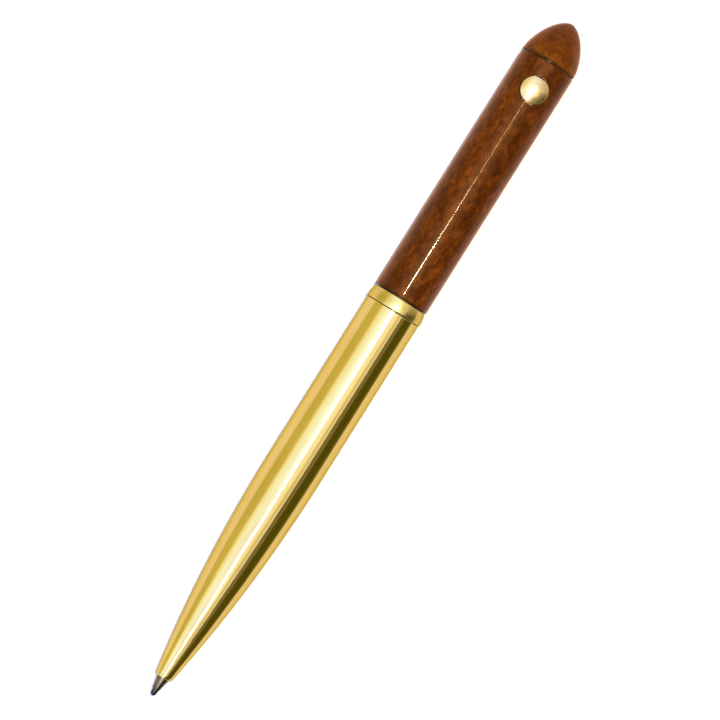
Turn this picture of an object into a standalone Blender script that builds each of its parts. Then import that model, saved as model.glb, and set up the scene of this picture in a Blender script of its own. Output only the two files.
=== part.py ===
"""Retractable ballpoint pen lying on its side.

The pen lies along X with its writing tip towards -X and its wooden end cap towards +X. The
release button faces +Z. The pen rests on the plane Z = 0, and the origin is on that plane, in
the middle of the pen's length. Everything is drawn with the tip out, which is how the pen
stands while its catch holds the plunger.

All sizes are in millimetres. Stations along the pen are measured from the writing point, and
the meshes are made in metres.
"""

import math

import bmesh
import bpy
from mathutils import Vector

MM = 0.001

# Facet counts of the round pieces
SHELL_SIDES = 40
BORE_SIDES = 32
ROD_SIDES = 24
WIRE_SIDES = 6
SLOT_ARC_STEPS = 12

# Edges that turn by more than this stay crisp when a round piece is shaded smooth
SHARP_EDGE_DEG = 32.0

# Whole pen
PEN_LENGTH = 140.0
BARREL_R = 5.3
WOOD_R = 5.26
COLLAR_R = 5.42
AXIS_HEIGHT = COLLAR_R * math.cos(math.pi / SHELL_SIDES)
FIT = 0.05

# Writing tip
BALL_R = 0.35
BALL_RINGS = 8
BALL_SIDES = 16
SOCKET_FRONT = 0.25
SOCKET_LIP_R = 0.46
SOCKET_SEAT_R = 0.38
SOCKET_SEAT_END = 0.75
INK_CHANNEL_R = 0.2
FINE_CONE_END = 1.35
FINE_CONE_R = 0.66
STEP_R = 0.72
STEP_LENGTH = 0.05
MAIN_CONE_END = 2.9
MAIN_CONE_R = 1.03
TIP_SHANK_START = 3.3
TIP_SHANK_R = 1.15
TIP_SHANK_END = 10.2
TIP_TAIL_R = 0.85
TIP_TAIL_END = 14.0

# Refill
NECK_START = 10.25
NECK_R = 1.5
NECK_CHAMFER = 0.15
NECK_BORE_R = 0.9
NECK_BORE_END = 14.2
NECK_CHANNEL_R = 0.5
SHOULDER_START = 16.5
SHOULDER_END = 17.5
REFILL_R = 2.95
REFILL_BORE_R = 2.55
TUBE_START = 17.65
TUBE_END = 97.15
NECK_PLUG_R = 2.45
NECK_PLUG_END = 21.0
INK_R = 2.5
INK_START = 21.1
INK_END = 70.0
INK_MENISCUS = 0.8
END_PLUG_START = 94.0
END_PLUG_FLANGE = 97.2
END_PLUG_END = 98.1
END_PLUG_VENT_R = 0.5

# Front barrel: nose end face, rounded ogive, then a straight tube
NOSE_FRONT = 3.8
NOSE_R = 1.66
NOSE_EDGE = 0.12
TIP_BORE_R = 1.25
OGIVE_LENGTH = 45.0
OGIVE_POWER = 2.1
OGIVE_STEPS = 13
OGIVE_CROWDING = 1.35
BARREL_END = 80.15
BARREL_EDGE = 0.1
SPRING_SEAT = 8.6
SPRING_BORE_R = 2.1
SPRING_BORE_END = 15.6
MAIN_BORE_START = 16.2
MAIN_BORE_R = 3.15
COUNTERBORE_START = 70.8
COUNTERBORE_R = 4.1

# Screw thread between the front barrel and the coupler
THREAD_START = 72.3
THREAD_PITCH = 1.2
THREAD_TURNS = 6
MALE_ROOT_R = 3.5
MALE_CREST_R = 4.0
FEMALE_MINOR_R = 3.6
FEMALE_MAJOR_R = 4.1

# Coupler and collar
COUPLER_START = 72.0
COUPLER_SEAT_START = 80.3
COUPLER_SEAT_END = 82.85
COUPLER_SEAT_R = 4.4
COUPLER_END = 90.0
COUPLER_REAR_R = 3.8
COLLAR_START = 80.25
COLLAR_END = 82.65
COLLAR_LAND = 0.8
COLLAR_REAR_R = 5.14
COLLAR_EDGE = 0.12
COLLAR_BORE_R = 4.45
COLLAR_STEPS = 4
COLLAR_CURVE = 1.4

# Rear barrel
WOOD_START = 82.95
WOOD_END = 131.6
WOOD_BORE_R = 4.2
WOOD_EDGE = 0.12
LINER_START = 82.95
LINER_END = 131.55
LINER_R = 4.15
LINER_BORE_R = 3.85

# Guide sleeve and rear bush
SLEEVE_START = 113.05
SLEEVE_END = 130.4
SLEEVE_R = 3.8
SLEEVE_BORE_R = 1.65
BUSH_START = 130.45
BUSH_END = 131.5
BUSH_BORE_R = 1.7

# Release button, centred on the axis BUTTON_X and standing along Z
BUTTON_X = 126.0
BUTTON_R = 2.55
BUTTON_BOTTOM = 2.85
BUTTON_RIM = 4.6
BUTTON_TOP = 5.75
BUTTON_DOME_STEPS = 6
BUTTON_DOME_POWER = 0.9
BUTTON_CAVITY_R = 1.9
BUTTON_CAVITY_TOP = 4.6
WING_HALF_LENGTH = 3.1
WING_HALF_WIDTH = 1.5
WING_TOP = 3.45
WOOD_HOLE_R = 2.75
LINER_HOLE_R = 2.7
HOLE_CUTTER_BOTTOM = 2.0
HOLE_CUTTER_TOP = 7.0

# Pockets of the guide sleeve under the button
WELL_R = 2.65
WELL_FLOOR = 1.3
WING_POCKET_HALF_LENGTH = 3.25
WING_POCKET_HALF_WIDTH = 1.65
WING_POCKET_FLOOR = 1.2
POCKET_TOP = 5.0
SLOT_HALF_THICKNESS = 0.35
SLOT_R = 2.2
SLOT_ARC_CENTRE = -1.2
SLOT_TOP = 4.8

# Spreader wedge under the button
WEDGE_TIP = 2.8
WEDGE_TIP_HALF_WIDTH = 0.05
WEDGE_SLOPE = 0.78
WEDGE_HALF_LENGTH = 0.7
WEDGE_DISC_R = 1.8
WEDGE_DISC_BOTTOM = 4.2
WEDGE_DISC_TOP = 4.55
WEDGE_SINK = 0.15

# Catch spring: a hairpin whose legs stand either side of the stem's groove
CATCH_WIRE_R = 0.25
CATCH_LEG_Y = 1.55
CATCH_BEND_Z = -1.2
CATCH_LEG_TOP_Z = 1.25
CATCH_THROAT_Y = 0.3
CATCH_THROAT_Z = 2.42
CATCH_MOUTH_Y = 0.52
CATCH_MOUTH_Z = 2.75
CATCH_BEND_STEPS = 12
CATCH_CORNER_R = 0.35
CATCH_CORNER_STEPS = 3

# Plunger
STEM_R = 1.6
STEM_START = 99.2
STEM_END = 136.4
GROOVE_START = BUTTON_X - 0.3
GROOVE_END = BUTTON_X + 0.65
GROOVE_R = 1.25
STOP_START = 105.5
STOP_END = 106.25
STOP_R = 2.75
WASHER_START = 106.3
WASHER_END = 106.9
WASHER_BORE_R = 1.65
CUP_START = 94.5
CUP_END = 103.5
CUP_R = 3.45
CUP_POCKET_R = 3.1
CUP_POCKET_END = 98.2
CUP_SOCKET_START = 99.1
CUP_SOCKET_R = 1.65

# End cap
CAP_START = 131.9
CAP_R = 5.22
CAP_EDGE = 0.12
CAP_TAPER_LENGTH = 7.6
CAP_AXIAL_POWER = 1.5
CAP_RADIAL_POWER = 1.7
CAP_STEPS = 12
CAP_CROWDING = 1.5
CAP_HOLE_R = 2.5
CAP_HOLE_END = 137.4
INSERT_START = 132.0
INSERT_R = 2.45
INSERT_END = 137.3
INSERT_BORE_R = 1.65
INSERT_BORE_END = 136.5

# Return spring: a coil between the nose's ledge and the refill's shoulder
SPRING_WIRE_R = 0.19
SPRING_MEAN_R = 1.81
SPRING_FIRST = 8.85
SPRING_LAST = 16.2
SPRING_CLOSED_PITCH = 0.42
SPRING_CLOSED_TURNS = 1.0
SPRING_OPEN_TURNS = 6.5
SPRING_STEPS_PER_TURN = 14

# Colours, then metallic and roughness values
BRASS = ((0.78, 0.56, 0.24), 1.0, 0.22)
BRASS_TURNED = ((0.70, 0.52, 0.25), 1.0, 0.35)
STEEL = ((0.55, 0.56, 0.58), 1.0, 0.28)
SPRING_STEEL = ((0.62, 0.63, 0.66), 1.0, 0.3)
TUNGSTEN = ((0.25, 0.25, 0.27), 1.0, 0.2)
WOOD = ((0.20, 0.06, 0.02), 0.0, 0.35)
WOOD_END_GRAIN = ((0.24, 0.08, 0.025), 0.0, 0.45)
PLASTIC_CLEAR = ((0.75, 0.76, 0.76), 0.0, 0.3)
PLASTIC_DARK = ((0.05, 0.05, 0.06), 0.0, 0.4)
ACETAL = ((0.80, 0.79, 0.75), 0.0, 0.4)
RUBBER = ((0.04, 0.04, 0.04), 0.0, 0.7)
INK = ((0.01, 0.015, 0.09), 0.0, 0.2)


def clear_scene():
    """Remove everything the start-up file holds."""
    for obj in list(bpy.data.objects):
        bpy.data.objects.remove(obj, do_unlink=True)


def world_x(station):
    """World X in metres of a station measured from the writing point."""
    return (station - PEN_LENGTH / 2) * MM


def make_material(name, look):
    """A Principled material of the piece's own."""
    colour, metallic, roughness = look
    material = bpy.data.materials.new(name)
    material.use_nodes = True
    shader = material.node_tree.nodes["Principled BSDF"]
    shader.inputs["Base Color"].default_value = (*colour, 1.0)
    shader.inputs["Metallic"].default_value = metallic
    shader.inputs["Roughness"].default_value = roughness
    return material


def add_object(name, bm, origin_station, look, smooth=True):
    """Turn a bmesh in millimetres about the pen's axis into a named object in metres."""
    bmesh.ops.recalc_face_normals(bm, faces=bm.faces)
    bmesh.ops.translate(bm, verts=bm.verts, vec=(-origin_station, 0.0, 0.0))
    bmesh.ops.scale(bm, verts=bm.verts, vec=(MM, MM, MM))
    mesh = bpy.data.meshes.new(name)
    bm.to_mesh(mesh)
    bm.free()
    obj = bpy.data.objects.new(name, mesh)
    obj.location = (world_x(origin_station), 0.0, AXIS_HEIGHT * MM)
    bpy.context.scene.collection.objects.link(obj)
    if smooth:
        mesh.shade_smooth()
        mesh.set_sharp_from_angle(angle=math.radians(SHARP_EDGE_DEG))
    if look is not None:
        mesh.materials.append(make_material(name, look))
    return obj


def cutter_object(name, bm, origin_station):
    """A hidden object that only cuts other pieces."""
    obj = add_object(name, bm, origin_station, None, smooth=False)
    obj.hide_render = True
    obj.display_type = "WIRE"
    return obj


def add_boolean(obj, other, operation):
    """Join or cut one piece with another, with the same result shown and rendered."""
    modifier = obj.modifiers.new(other.name, "BOOLEAN")
    modifier.object = other
    modifier.operation = operation
    modifier.solver = "EXACT"


def ring_points(along, radius, sides, axis):
    """Corners of a regular polygon about the pen's axis or about the button's axis.

    About the pen's axis one side of the polygon faces straight down, so the collar ring, the
    widest piece, has a flat facet to rest on.
    """
    if radius == 0.0:
        angles = [0.0]
    else:
        angles = [(k + 0.5) * 2.0 * math.pi / sides for k in range(sides)]
    points = []
    for angle in angles:
        across = radius * math.sin(angle)
        down = -radius * math.cos(angle)
        if axis == "X":
            points.append((along, across, down))
        else:
            points.append((BUTTON_X + down, across, along))
    return points


def bridge(bm, first, second):
    """Faces between two rings, either of which may be a single point on the axis."""
    if len(first) == 1 and len(second) == 1:
        return
    count = max(len(first), len(second))
    for k in range(count):
        following = (k + 1) % count
        if len(first) == 1:
            bm.faces.new((first[0], second[k], second[following]))
        elif len(second) == 1:
            bm.faces.new((first[k], first[following], second[0]))
        else:
            bm.faces.new((first[k], first[following], second[following], second[k]))


def revolve(outline, sides, axis="X"):
    """Turn an outline of (along, radius) points into a closed body of revolution.

    An outline that starts and ends on the axis makes a solid. Any other is closed on itself and
    makes a ring or a tube.
    """
    bm = bmesh.new()
    rings = []
    for along, radius in outline:
        rings.append([bm.verts.new(point) for point in ring_points(along, radius, sides, axis)])
    for first, second in zip(rings, rings[1:]):
        bridge(bm, first, second)
    if outline[0][1] > 0.0:
        bridge(bm, rings[-1], rings[0])
    return bm


def box(centre, half_sizes):
    """A plain box."""
    bm = bmesh.new()
    bmesh.ops.create_cube(bm, size=2.0)
    bmesh.ops.scale(bm, verts=bm.verts, vec=half_sizes)
    bmesh.ops.translate(bm, verts=bm.verts, vec=centre)
    return bm


def prism(outline, station, half_thickness):
    """A flat shape given as (y, z) points, thickened both ways along the pen."""
    bm = bmesh.new()
    front = [bm.verts.new((station - half_thickness, y, z)) for y, z in outline]
    back = [bm.verts.new((station + half_thickness, y, z)) for y, z in outline]
    bm.faces.new(front)
    bm.faces.new(back)
    bridge(bm, front, back)
    return bm


def sweep_wire(path, wire_r):
    """Round wire along a path that never runs along the pen's own axis."""
    bm = bmesh.new()
    rings = []
    pen_axis = Vector((1.0, 0.0, 0.0))
    last = len(path) - 1
    for k, point in enumerate(path):
        tangent = (path[min(k + 1, last)] - path[max(k - 1, 0)]).normalized()
        side = (pen_axis - tangent * pen_axis.dot(tangent)).normalized()
        other = tangent.cross(side)
        ring = []
        for corner in range(WIRE_SIDES):
            angle = 2.0 * math.pi * corner / WIRE_SIDES
            offset = side * math.cos(angle) + other * math.sin(angle)
            ring.append(bm.verts.new(point + offset * wire_r))
        rings.append(ring)
    for first, second in zip(rings, rings[1:]):
        bridge(bm, first, second)
    bm.faces.new(rings[0])
    bm.faces.new(rings[-1])
    return bm


def arc_points(centre, radius, start, end, steps):
    """(a, b) points on an arc, both ends included."""
    points = []
    for k in range(steps + 1):
        angle = start + (end - start) * k / steps
        points.append((centre[0] + radius * math.cos(angle), centre[1] + radius * math.sin(angle)))
    return points


def ogive_radius(station):
    """Radius of the nose's rounded outline at a station."""
    travelled = min(1.0, (station - NOSE_FRONT) / OGIVE_LENGTH)
    return NOSE_R + (BARREL_R - NOSE_R) * (1.0 - (1.0 - travelled) ** OGIVE_POWER)


def cap_radius(from_end):
    """Radius of the bullet-shaped cap at a distance from its rounded end."""
    remaining = max(0.0, 1.0 - from_end / CAP_TAPER_LENGTH)
    return CAP_R * (1.0 - remaining**CAP_AXIAL_POWER) ** (1.0 / CAP_RADIAL_POWER)


def thread_outline(low, high):
    """(along, radius) zigzag of the screw thread, drawn as closed ridges."""
    points = [(THREAD_START, low)]
    for turn in range(THREAD_TURNS):
        start = THREAD_START + turn * THREAD_PITCH
        points.append((start + THREAD_PITCH / 2, high))
        points.append((start + THREAD_PITCH, low))
    return points


def front_barrel():
    outline = [(NOSE_FRONT, TIP_BORE_R), (NOSE_FRONT, NOSE_R - NOSE_EDGE)]
    for k in range(OGIVE_STEPS + 1):
        share = (k / OGIVE_STEPS) ** OGIVE_CROWDING
        station = NOSE_FRONT + OGIVE_LENGTH * share
        if k == 0:
            station += NOSE_EDGE
        outline.append((station, ogive_radius(station)))
    outline += [
        (BARREL_END - BARREL_EDGE, BARREL_R),
        (BARREL_END, BARREL_R - BARREL_EDGE),
        (BARREL_END, COUNTERBORE_R),
    ]
    thread_end = THREAD_START + THREAD_TURNS * THREAD_PITCH
    outline.append((thread_end + (FEMALE_MAJOR_R - FEMALE_MINOR_R), FEMALE_MAJOR_R))
    outline += reversed(thread_outline(FEMALE_MINOR_R, FEMALE_MAJOR_R))
    outline += [
        (THREAD_START - (FEMALE_MAJOR_R - FEMALE_MINOR_R), COUNTERBORE_R),
        (COUNTERBORE_START, COUNTERBORE_R),
        (COUNTERBORE_START, MAIN_BORE_R),
        (MAIN_BORE_START, MAIN_BORE_R),
        (SPRING_BORE_END, SPRING_BORE_R),
        (SPRING_SEAT, SPRING_BORE_R),
        (SPRING_SEAT, TIP_BORE_R),
    ]
    return add_object("front_barrel", revolve(outline, SHELL_SIDES), BARREL_END, BRASS)


def collar_ring():
    outline = [
        (COLLAR_START, COLLAR_BORE_R),
        (COLLAR_START, COLLAR_R - COLLAR_EDGE),
        (COLLAR_START + COLLAR_EDGE, COLLAR_R),
    ]
    land_end = COLLAR_START + COLLAR_LAND
    for k in range(COLLAR_STEPS + 1):
        share = k / COLLAR_STEPS
        station = land_end + (COLLAR_END - land_end) * share
        outline.append((station, COLLAR_R + (COLLAR_REAR_R - COLLAR_R) * share**COLLAR_CURVE))
    outline.append((COLLAR_END, COLLAR_BORE_R))
    return add_object("collar_ring", revolve(outline, SHELL_SIDES), COLLAR_START, BRASS)


def threaded_coupler():
    outline = [(COUPLER_START, MAIN_BORE_R), (COUPLER_START, MALE_ROOT_R)]
    outline += thread_outline(MALE_ROOT_R, MALE_CREST_R)
    outline += [
        (COUPLER_SEAT_START, MALE_ROOT_R),
        (COUPLER_SEAT_START, COUPLER_SEAT_R),
        (COUPLER_SEAT_END, COUPLER_SEAT_R),
        (COUPLER_SEAT_END, COUPLER_REAR_R),
        (COUPLER_END, COUPLER_REAR_R),
        (COUPLER_END, MAIN_BORE_R),
    ]
    bm = revolve(outline, SHELL_SIDES)
    return add_object("threaded_coupler", bm, COLLAR_START, BRASS_TURNED)


def radial_hole_cutter(name, radius):
    """A drill along Z that makes the button's hole."""
    outline = [
        (HOLE_CUTTER_BOTTOM, 0.0),
        (HOLE_CUTTER_BOTTOM, radius),
        (HOLE_CUTTER_TOP, radius),
        (HOLE_CUTTER_TOP, 0.0),
    ]
    return cutter_object(name, revolve(outline, BORE_SIDES, "Z"), BUTTON_X)


def wood_barrel():
    outline = [
        (WOOD_START, WOOD_BORE_R),
        (WOOD_START, WOOD_R - WOOD_EDGE),
        (WOOD_START + WOOD_EDGE, WOOD_R),
        (WOOD_END - WOOD_EDGE, WOOD_R),
        (WOOD_END, WOOD_R - WOOD_EDGE),
        (WOOD_END, WOOD_BORE_R),
    ]
    obj = add_object("wood_barrel", revolve(outline, SHELL_SIDES), WOOD_START, WOOD)
    add_boolean(obj, radial_hole_cutter("wood_hole_cutter", WOOD_HOLE_R), "DIFFERENCE")
    return obj


def liner_tube():
    outline = [
        (LINER_START, LINER_BORE_R),
        (LINER_START, LINER_R),
        (LINER_END, LINER_R),
        (LINER_END, LINER_BORE_R),
    ]
    obj = add_object("liner_tube", revolve(outline, SHELL_SIDES), LINER_START, BRASS_TURNED)
    add_boolean(obj, radial_hole_cutter("liner_hole_cutter", LINER_HOLE_R), "DIFFERENCE")
    return obj


def guide_sleeve():
    """Block that guides the plunger and holds the catch spring under the button."""
    outline = [
        (SLEEVE_START, SLEEVE_BORE_R),
        (SLEEVE_START, SLEEVE_R),
        (SLEEVE_END, SLEEVE_R),
        (SLEEVE_END, SLEEVE_BORE_R),
    ]
    obj = add_object("guide_sleeve", revolve(outline, SHELL_SIDES), SLEEVE_START, ACETAL)
    well_outline = [
        (WELL_FLOOR, 0.0),
        (WELL_FLOOR, WELL_R),
        (POCKET_TOP, WELL_R),
        (POCKET_TOP, 0.0),
    ]
    well = cutter_object("button_well_cutter", revolve(well_outline, BORE_SIDES, "Z"), BUTTON_X)
    pocket_height = POCKET_TOP - WING_POCKET_FLOOR
    pocket = cutter_object(
        "wing_pocket_cutter",
        box(
            (BUTTON_X, 0.0, WING_POCKET_FLOOR + pocket_height / 2),
            (WING_POCKET_HALF_LENGTH, WING_POCKET_HALF_WIDTH, pocket_height / 2 + FIT),
        ),
        BUTTON_X,
    )
    slot_outline = arc_points((0.0, SLOT_ARC_CENTRE), SLOT_R, math.pi, 2.0 * math.pi, SLOT_ARC_STEPS)
    slot_outline += [(SLOT_R, SLOT_TOP), (-SLOT_R, SLOT_TOP)]
    slot = cutter_object(
        "catch_slot_cutter", prism(slot_outline, BUTTON_X, SLOT_HALF_THICKNESS), BUTTON_X
    )
    for cutter in (well, pocket, slot):
        add_boolean(obj, cutter, "DIFFERENCE")
    return obj


def end_bush():
    outline = [
        (BUSH_START, BUSH_BORE_R),
        (BUSH_START, SLEEVE_R),
        (BUSH_END, SLEEVE_R),
        (BUSH_END, BUSH_BORE_R),
    ]
    return add_object("end_bush", revolve(outline, SHELL_SIDES), BUSH_START, BRASS_TURNED)


def catch_path():
    """The hairpin's centre line, from the mouth of one leg round to that of the other."""
    corners = [
        (CATCH_MOUTH_Y, CATCH_MOUTH_Z),
        (CATCH_THROAT_Y, CATCH_THROAT_Z),
        (CATCH_LEG_Y, CATCH_LEG_TOP_Z),
        (CATCH_LEG_Y, CATCH_BEND_Z),
    ]
    leg = [corners[0]]
    for before, corner, after in zip(corners, corners[1:], corners[2:]):
        leg += rounded_corner(before, corner, after)
    bend = arc_points((0.0, CATCH_BEND_Z), CATCH_LEG_Y, 0.0, -math.pi, CATCH_BEND_STEPS)
    other_leg = [(-y, z) for y, z in reversed(leg)]
    return [Vector((BUTTON_X, y, z)) for y, z in leg + bend + other_leg]


def rounded_corner(before, corner, after):
    """Points of a smooth turn in place of a sharp corner of the wire."""
    pivot = Vector(corner)
    back = (Vector(before) - pivot).normalized()
    onward = (Vector(after) - pivot).normalized()
    reach = min(CATCH_CORNER_R, (Vector(before) - pivot).length / 2)
    points = []
    for k in range(CATCH_CORNER_STEPS + 1):
        share = k / CATCH_CORNER_STEPS
        inward = back * reach * (1.0 - share) ** 2
        outward = onward * reach * share**2
        points.append(tuple(pivot + inward + outward))
    return points


def catch_spring():
    bm = sweep_wire(catch_path(), CATCH_WIRE_R)
    return add_object("catch_spring", bm, BUTTON_X, SPRING_STEEL)


def button_dome():
    """Outline of the button's domed top, from its rim to the middle."""
    rise = BUTTON_TOP - BUTTON_RIM
    points = []
    for k in range(BUTTON_DOME_STEPS + 1):
        share = k / BUTTON_DOME_STEPS
        radius = BUTTON_R * math.cos(share * math.pi / 2)
        height = BUTTON_RIM + rise * math.sin(share * math.pi / 2) ** BUTTON_DOME_POWER
        points.append((height, 0.0 if k == BUTTON_DOME_STEPS else radius))
    return points


def release_button():
    outline = [(BUTTON_BOTTOM, 0.0), (BUTTON_BOTTOM, BUTTON_R)] + button_dome()
    obj = add_object("release_button", revolve(outline, BORE_SIDES, "Z"), BUTTON_X, BRASS)
    wing_height = WING_TOP - BUTTON_BOTTOM
    wings = cutter_object(
        "button_wings",
        box(
            (BUTTON_X, 0.0, BUTTON_BOTTOM + wing_height / 2),
            (WING_HALF_LENGTH, WING_HALF_WIDTH, wing_height / 2),
        ),
        BUTTON_X,
    )
    cavity_outline = [
        (HOLE_CUTTER_BOTTOM, 0.0),
        (HOLE_CUTTER_BOTTOM, BUTTON_CAVITY_R),
        (BUTTON_CAVITY_TOP, BUTTON_CAVITY_R),
        (BUTTON_CAVITY_TOP, 0.0),
    ]
    cavity = cutter_object(
        "button_cavity_cutter", revolve(cavity_outline, BORE_SIDES, "Z"), BUTTON_X
    )
    add_boolean(obj, wings, "UNION")
    add_boolean(obj, cavity, "DIFFERENCE")
    return obj


def spreader_wedge():
    outline = [
        (WEDGE_DISC_BOTTOM, 0.0),
        (WEDGE_DISC_BOTTOM, WEDGE_DISC_R),
        (WEDGE_DISC_TOP, WEDGE_DISC_R),
        (WEDGE_DISC_TOP, 0.0),
    ]
    obj = add_object("spreader_wedge", revolve(outline, BORE_SIDES, "Z"), BUTTON_X, STEEL)
    root = WEDGE_DISC_BOTTOM + WEDGE_SINK
    root_half_width = WEDGE_TIP_HALF_WIDTH + (root - WEDGE_TIP) * WEDGE_SLOPE
    blade_outline = [
        (-WEDGE_TIP_HALF_WIDTH, WEDGE_TIP),
        (WEDGE_TIP_HALF_WIDTH, WEDGE_TIP),
        (root_half_width, root),
        (-root_half_width, root),
    ]
    blade = cutter_object(
        "wedge_blade", prism(blade_outline, BUTTON_X, WEDGE_HALF_LENGTH), BUTTON_X
    )
    add_boolean(obj, blade, "UNION")
    return obj


def bullet_cap():
    outline = [
        (CAP_HOLE_END, 0.0),
        (CAP_HOLE_END, CAP_HOLE_R),
        (CAP_START, CAP_HOLE_R),
        (CAP_START, CAP_R - CAP_EDGE),
        (CAP_START + CAP_EDGE, CAP_R),
    ]
    for k in range(CAP_STEPS):
        share = 1.0 - k / CAP_STEPS
        from_end = CAP_TAPER_LENGTH * share**CAP_CROWDING
        outline.append((PEN_LENGTH - from_end, cap_radius(from_end)))
    outline.append((PEN_LENGTH, 0.0))
    return add_object("bullet_cap", revolve(outline, SHELL_SIDES), CAP_START, WOOD_END_GRAIN)


def cap_insert():
    outline = [
        (INSERT_BORE_END, 0.0),
        (INSERT_BORE_END, INSERT_BORE_R),
        (INSERT_START, INSERT_BORE_R),
        (INSERT_START, INSERT_R),
        (INSERT_END, INSERT_R),
        (INSERT_END, 0.0),
    ]
    return add_object("cap_insert", revolve(outline, ROD_SIDES), CAP_START, BRASS_TURNED)


def plunger_stem():
    outline = [
        (STEM_START, 0.0),
        (STEM_START, STEM_R),
        (STOP_START, STEM_R),
        (STOP_START, STOP_R),
        (STOP_END, STOP_R),
        (STOP_END, STEM_R),
        (GROOVE_START, STEM_R),
        (GROOVE_START, GROOVE_R),
        (GROOVE_END, GROOVE_R),
        (GROOVE_END + STEM_R - GROOVE_R, STEM_R),
        (STEM_END, STEM_R),
        (STEM_END, 0.0),
    ]
    return add_object("plunger_stem", revolve(outline, ROD_SIDES), CAP_START, BRASS_TURNED)


def buffer_washer():
    outline = [
        (WASHER_START, WASHER_BORE_R),
        (WASHER_START, STOP_R),
        (WASHER_END, STOP_R),
        (WASHER_END, WASHER_BORE_R),
    ]
    return add_object("buffer_washer", revolve(outline, ROD_SIDES), CAP_START, RUBBER)


def thrust_cup():
    outline = [
        (CUP_POCKET_END, 0.0),
        (CUP_POCKET_END, CUP_POCKET_R),
        (CUP_START, CUP_POCKET_R),
        (CUP_START, CUP_R),
        (CUP_END, CUP_R),
        (CUP_END, CUP_SOCKET_R),
        (CUP_SOCKET_START, CUP_SOCKET_R),
        (CUP_SOCKET_START, 0.0),
    ]
    return add_object("thrust_cup", revolve(outline, BORE_SIDES), CAP_START, ACETAL)


def tip_ball():
    outline = []
    for along, radius in arc_points((BALL_R, 0.0), BALL_R, math.pi, 0.0, BALL_RINGS):
        outline.append((along, max(0.0, radius)))
    outline[0] = (0.0, 0.0)
    outline[-1] = (2.0 * BALL_R, 0.0)
    return add_object("tip_ball", revolve(outline, BALL_SIDES), BALL_R, TUNGSTEN)


def tip_socket():
    outline = [
        (SOCKET_FRONT, SOCKET_SEAT_R),
        (SOCKET_FRONT, SOCKET_LIP_R),
        (FINE_CONE_END, FINE_CONE_R),
        (FINE_CONE_END + STEP_LENGTH, STEP_R),
        (MAIN_CONE_END, MAIN_CONE_R),
        (TIP_SHANK_START, TIP_SHANK_R),
        (TIP_SHANK_END, TIP_SHANK_R),
        (TIP_SHANK_END, TIP_TAIL_R),
        (TIP_TAIL_END, TIP_TAIL_R),
        (TIP_TAIL_END, INK_CHANNEL_R),
        (SOCKET_SEAT_END, INK_CHANNEL_R),
        (SOCKET_SEAT_END, SOCKET_SEAT_R),
    ]
    return add_object("tip_socket", revolve(outline, ROD_SIDES), SHOULDER_END, STEEL)


def refill_neck():
    outline = [
        (NECK_START, NECK_BORE_R),
        (NECK_START, NECK_R - NECK_CHAMFER),
        (NECK_START + NECK_CHAMFER, NECK_R),
        (SHOULDER_START, NECK_R),
        (SHOULDER_END, REFILL_R),
        (TUBE_START - FIT, REFILL_R),
        (TUBE_START - FIT, NECK_PLUG_R),
        (NECK_PLUG_END, NECK_PLUG_R),
        (NECK_PLUG_END, NECK_CHANNEL_R),
        (NECK_BORE_END, NECK_CHANNEL_R),
        (NECK_BORE_END, NECK_BORE_R),
    ]
    return add_object("refill_neck", revolve(outline, ROD_SIDES), SHOULDER_END, PLASTIC_DARK)


def refill_tube():
    outline = [
        (TUBE_START, REFILL_BORE_R),
        (TUBE_START, REFILL_R),
        (TUBE_END, REFILL_R),
        (TUBE_END, REFILL_BORE_R),
    ]
    return add_object("refill_tube", revolve(outline, ROD_SIDES), SHOULDER_END, PLASTIC_CLEAR)


def ink_column():
    outline = [
        (INK_START, 0.0),
        (INK_START, INK_R),
        (INK_END, INK_R),
        (INK_END - INK_MENISCUS, INK_R / 2),
        (INK_END - INK_MENISCUS, 0.0),
    ]
    return add_object("ink_column", revolve(outline, ROD_SIDES), SHOULDER_END, INK)


def refill_end_plug():
    outline = [
        (END_PLUG_START, END_PLUG_VENT_R),
        (END_PLUG_START, NECK_PLUG_R),
        (END_PLUG_FLANGE, NECK_PLUG_R),
        (END_PLUG_FLANGE, REFILL_R),
        (END_PLUG_END, REFILL_R),
        (END_PLUG_END, END_PLUG_VENT_R),
    ]
    return add_object("refill_end_plug", revolve(outline, ROD_SIDES), SHOULDER_END, PLASTIC_DARK)


def spring_station(turn):
    """Station of the coil's centre line after a number of turns, closed at both ends."""
    total = SPRING_OPEN_TURNS + 2.0 * SPRING_CLOSED_TURNS
    closed_rise = SPRING_CLOSED_PITCH * SPRING_CLOSED_TURNS
    open_rise = SPRING_LAST - SPRING_FIRST - 2.0 * closed_rise
    if turn < SPRING_CLOSED_TURNS:
        return SPRING_FIRST + SPRING_CLOSED_PITCH * turn
    if turn > total - SPRING_CLOSED_TURNS:
        return SPRING_LAST - SPRING_CLOSED_PITCH * (total - turn)
    share = (turn - SPRING_CLOSED_TURNS) / SPRING_OPEN_TURNS
    return SPRING_FIRST + closed_rise + open_rise * share


def return_spring():
    total = SPRING_OPEN_TURNS + 2.0 * SPRING_CLOSED_TURNS
    steps = round(total * SPRING_STEPS_PER_TURN)
    path = []
    for k in range(steps + 1):
        turn = total * k / steps
        angle = 2.0 * math.pi * turn
        across = SPRING_MEAN_R * math.sin(angle)
        up = SPRING_MEAN_R * math.cos(angle)
        path.append(Vector((spring_station(turn), across, up)))
    bm = sweep_wire(path, SPRING_WIRE_R)
    return add_object("return_spring", bm, SPRING_SEAT, SPRING_STEEL)


def main():
    clear_scene()
    for build_piece in (
        front_barrel,
        collar_ring,
        threaded_coupler,
        wood_barrel,
        liner_tube,
        guide_sleeve,
        end_bush,
        catch_spring,
        release_button,
        spreader_wedge,
        bullet_cap,
        cap_insert,
        plunger_stem,
        buffer_washer,
        thrust_cup,
        tip_ball,
        tip_socket,
        refill_neck,
        refill_tube,
        ink_column,
        refill_end_plug,
        return_spring,
    ):
        build_piece()


main()
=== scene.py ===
import math

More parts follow.
